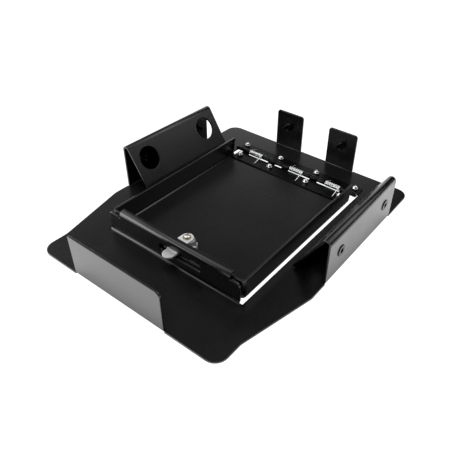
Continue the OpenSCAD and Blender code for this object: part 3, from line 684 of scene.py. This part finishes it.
def paint_dab():
    """Dab of locking paint over the rear edge of the cam screw's head."""
    half_sizes = Vector((1.7, 1.3, 1.1)) * MM
    lean = Matrix.Rotation(math.radians(-25), 3, "X")
    screw_top = Vector((lock.x, lock.y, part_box("cam_screw")[1].z))
    place = screw_top + Vector((-0.8, 2.9, -1.2)) * MM
    bm = bmesh.new()
    bmesh.ops.create_icosphere(bm, subdivisions=3, radius=1)
    bmesh.ops.scale(bm, vec=half_sizes, verts=bm.verts)
    bmesh.ops.rotate(bm, verts=bm.verts, cent=(0, 0, 0), matrix=lean)
    bmesh.ops.translate(bm, vec=place, verts=bm.verts)
    piece("locking_paint_dab", bm, locking_paint, "lock_rotor", [])


for name in ("spring_left", "spring_middle", "spring_right"):
    round_wire_spring(name)
paint_dab()
rivet_nuts("right_rivet_nuts", "right_bracket", (0, 1, 0))
rivet_nuts("left_rivet_nuts", "left_bracket", (0, 1, 0))
rivet_nuts("tab_rivet_nuts", "rear_tabs", (1, 0, 0))
threaded_barrel()

eased("base_plate", powder, SHEET_EDGE)
eased("lid_pan", powder, SHEET_EDGE)
eased("hinge_leaf_plate", oxide, SMALL_EDGE)
eased("hinge_leaf_lid", oxide, SMALL_EDGE)
eased("hinge_pin", pin_steel, SMALL_EDGE)
eased("plate_hinge_nuts", zinc, SMALL_EDGE)
eased("lid_hinge_nuts", zinc, SMALL_EDGE)
eased("plate_hinge_studs", zinc, SMALL_EDGE)
eased("lid_hinge_studs", zinc, SMALL_EDGE)
eased("lock_nut", zinc, SMALL_EDGE)
eased("lock_plug", brass, SMALL_EDGE)
eased("lock_wafers", brass, SMALL_EDGE / 2)
eased("stop_washer", satin, SMALL_EDGE)
eased("lock_cam", satin, SMALL_EDGE)
eased("cam_washer", yellow_zinc, SMALL_EDGE / 2)
eased("cam_screw", chrome, SMALL_EDGE / 2)


# Studio


def glow(name, radiance):
    """Light-giving material of the studio, whose radiance is what a mirror shows."""
    material = bpy.data.materials.new(name)
    material.use_nodes = True
    tree = material.node_tree
    tree.nodes.clear()
    emission = add(tree, "ShaderNodeEmission", {"Strength": radiance})
    add(tree, "ShaderNodeOutputMaterial", links={"Surface": emission.outputs["Emission"]})
    return material


def stage_piece(name, bm, material):
    """A piece of the studio, which isn't part of the object."""
    mesh = bpy.data.meshes.new(name)
    bm.to_mesh(mesh)
    bm.free()
    mesh.materials.append(material)
    made = bpy.data.objects.new(name, mesh)
    bpy.context.scene.collection.objects.link(made)
    return made


def floor_sheet(name, depth, material):
    """A square of the floor, a little below the object."""
    bm = bmesh.new()
    bmesh.ops.create_grid(bm, x_segments=1, y_segments=1, size=4)
    bmesh.ops.translate(bm, vec=(0, 0, -depth), verts=bm.verts)
    return stage_piece(name, bm, material)


def floor_light(front, right, rest, reach):
    """Light that the white floor throws up, most in front, and less within reach of what stands on it."""
    material = bpy.data.materials.new("floor_light")
    material.use_nodes = True
    tree = material.node_tree
    tree.nodes.clear()
    place = add(tree, "ShaderNodeTexCoord").outputs["Object"]
    split = add(tree, "ShaderNodeSeparateXYZ", links={"Vector": place})
    forward = add(
        tree,
        "ShaderNodeMapRange",
        {"From Min": -300 * MM, "From Max": 0, "To Min": front, "To Max": rest},
        {"Value": split.outputs["Y"]},
        interpolation_type="SMOOTHSTEP",
    )
    sideways = add(
        tree,
        "ShaderNodeMapRange",
        {"From Min": 50 * MM, "From Max": 200 * MM, "To Min": rest, "To Max": right},
        {"Value": split.outputs["X"]},
        interpolation_type="SMOOTHSTEP",
    )
    most = add(
        tree,
        "ShaderNodeMath",
        links={0: forward.outputs["Result"], 1: sideways.outputs["Result"]},
        operation="MAXIMUM",
    )
    shade = add(tree, "ShaderNodeAmbientOcclusion", {"Distance": reach}, samples=8)
    strength = add(
        tree,
        "ShaderNodeMath",
        links={0: shade.outputs["AO"], 1: most.outputs["Value"]},
        operation="MULTIPLY",
    )
    emission = add(tree, "ShaderNodeEmission", links={"Strength": strength.outputs["Value"]})
    add(tree, "ShaderNodeOutputMaterial", links={"Surface": emission.outputs["Emission"]})
    made = floor_sheet("floor_light", 0.05 * MM, material)
    made.visible_camera = False
    made.visible_shadow = False


def white_surround():
    """White floor and surround that only the camera sees."""
    bm = bmesh.new()
    bmesh.ops.create_icosphere(bm, subdivisions=4, radius=6)
    white = glow("surround_white", 1.2)
    for made in (stage_piece("backdrop", bm, white), floor_sheet("floor", 0.06 * MM, white)):
        for ray in ("visible_diffuse", "visible_glossy", "visible_transmission", "visible_shadow"):
            setattr(made, ray, False)


def panel(name, azimuths, elevations, radiance):
    """Curved light panel between angles in degrees; azimuth 0 is in front, 90 on the right."""
    distance = 3
    facet = 6
    height = elevations[1] - elevations[0]
    width = azimuths[1] - azimuths[0]
    bm = bmesh.new()
    start = bmesh.ops.create_vert(bm, co=(0, -distance, 0))["vert"]
    raised = Matrix.Rotation(-math.radians(elevations[0]), 3, "X")
    bmesh.ops.rotate(bm, verts=start, cent=(0, 0, 0), matrix=raised)
    bmesh.ops.spin(
        bm,
        geom=start,
        cent=(0, 0, 0),
        axis=(-1, 0, 0),
        angle=math.radians(height),
        steps=max(1, round(height / facet)),
    )
    aside = Matrix.Rotation(math.radians(azimuths[0]), 3, "Z")
    bmesh.ops.rotate(bm, verts=bm.verts, cent=(0, 0, 0), matrix=aside)
    bmesh.ops.spin(
        bm,
        geom=list(bm.edges),
        cent=(0, 0, 0),
        axis=(0, 0, 1),
        angle=math.radians(width),
        steps=max(1, round(width / facet)),
    )
    made = stage_piece(name, bm, glow(name, radiance))
    made.visible_camera = False
    made.visible_shadow = False


def studio():
    """White floor and surround, and soft panels that are brightest low in front on the left."""
    white_surround()
    floor_light(2.7, 2, 1.1, 25 * MM)
    panel("front_left_panel", (-75, -15), (0, 26), 5)
    panel("front_left_middle_panel", (-75, -15), (26, 46), 0.8)
    panel("front_left_high_panel", (-105, -15), (48, 88), 2.1)
    panel("front_panel", (-15, 15), (0, 40), 0.2)
    panel("rear_right_panel", (132, 165), (22, 40), 1.8)
    panel("rear_right_high_panel", (132, 165), (40, 62), 2.8)
    panel("right_rear_panel", (105, 132), (26, 62), 1)
    panel("rear_panel", (165, 190), (46, 66), 1.7)
    panel("rear_left_low_panel", (195, 255), (0, 26), 1)
    panel("rear_left_panel", (195, 255), (26, 46), 0.25)
    panel("left_panel", (255, 285), (0, 46), 1.2)
    panel("ceiling_panel", (15, 255), (62, 88), 0.9)
    world = bpy.data.worlds.new("studio")
    world.use_nodes = True
    background = world.node_tree.nodes["Background"]
    background.inputs["Color"].default_value = linear("#ffffff")
    background.inputs["Strength"].default_value = 0.01
    bpy.context.scene.world = world
    bpy.context.scene.view_settings.view_transform = "Standard"


def photo_camera():
    """The photograph's camera, fitted to corners of the object; its image is 450 pixels square."""
    pixels = 450
    focal = 508.24
    centre = Vector((261.58, 220.35))
    azimuth, elevation, roll = (math.radians(angle) for angle in (34.94, 37.74, 2.49))
    distance = 624.86 * MM
    target = Vector((30.30, 14.36, 0)) * MM
    back = Vector((
        math.sin(azimuth) * math.cos(elevation),
        -math.cos(azimuth) * math.cos(elevation),
        math.sin(elevation),
    ))
    level = Vector((math.cos(azimuth), math.sin(azimuth), 0))
    upright = back.cross(level)
    side = level * math.cos(roll) + upright * math.sin(roll)
    up = upright * math.cos(roll) - level * math.sin(roll)
    data = bpy.data.cameras.new("photo_camera")
    data.sensor_width = 36
    data.lens = focal * data.sensor_width / pixels
    data.shift_x = (pixels / 2 - centre.x) / pixels
    data.shift_y = (centre.y - pixels / 2) / pixels
    data.clip_start = 10 * MM
    data.clip_end = 20
    made = bpy.data.objects.new("photo_camera", data)
    turned_to = Matrix((side, up, back)).transposed().to_4x4()
    made.matrix_world = Matrix.Translation(target + back * distance) @ turned_to
    bpy.context.scene.collection.objects.link(made)
    bpy.context.scene.camera = made


studio()
photo_camera()
